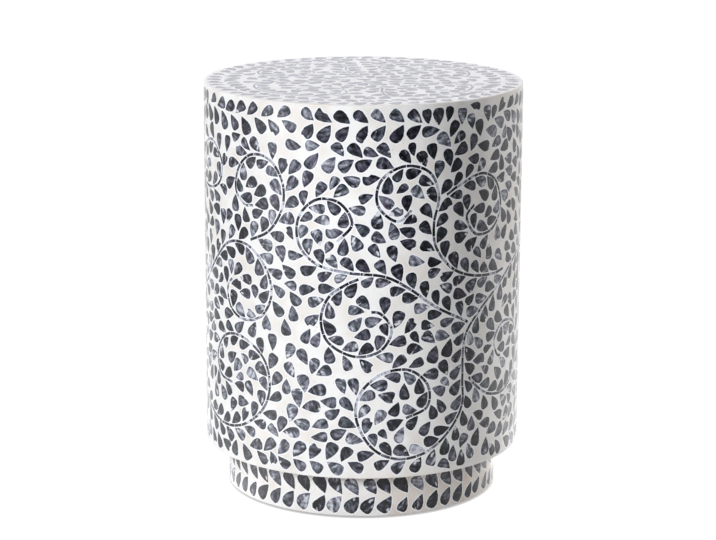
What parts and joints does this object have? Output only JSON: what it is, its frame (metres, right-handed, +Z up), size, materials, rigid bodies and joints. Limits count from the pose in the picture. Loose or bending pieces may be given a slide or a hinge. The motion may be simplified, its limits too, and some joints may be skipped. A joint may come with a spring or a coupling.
{
  "type": "inlaid drum stool",
  "caption": "Round drum stool on a recessed plinth, its top, side and plinth inlaid with dark mother-of-pearl leaves set in polished white resin.",
  "frame": {"origin": "on the floor under the middle of the drum", "axes": "+Z up, -Y the side that faces the camera in the picture, +X to its right"},
  "size_m": [0.35, 0.35, 0.455],
  "materials": {
    "fibre_board": "raw sanded fibreboard",
    "birch_ply": "raw bent plywood",
    "pine": "planed pine",
    "screw_steel": "yellow zinc plated",
    "glide_nylon": "moulded, matte",
    "dark_shell": "polished flush, faint pearl sheen",
    "polished_resin": "polished warm white"
  },
  "bodies": {
    "root": {"top_board": "fibre_board", "middle_board": "fibre_board", "bottom_board": "fibre_board", "outer_wall_ply": "birch_ply", "inner_wall_ply": "birch_ply", "plinth_ring": "birch_ply", "post_1": "pine", "post_2": "pine", "post_3": "pine", "post_4": "pine", "glue_block_1": "pine", "glue_block_2": "pine", "glue_block_3": "pine", "glue_block_4": "pine", "post_screw_1": "screw_steel", "post_screw_2": "screw_steel", "post_screw_3": "screw_steel", "post_screw_4": "screw_steel", "block_screw_1": "screw_steel", "block_screw_2": "screw_steel", "block_screw_3": "screw_steel", "block_screw_4": "screw_steel", "glide_1": "glide_nylon", "glide_2": "glide_nylon", "glide_3": "glide_nylon", "glide_4": "glide_nylon", "side_shell_inlay": "dark_shell", "top_shell_inlay": "dark_shell", "plinth_shell_inlay": "dark_shell", "side_resin_ground": "polished_resin", "top_resin_ground": "polished_resin", "plinth_resin_ground": "polished_resin"}
  },
  "joints": []
}
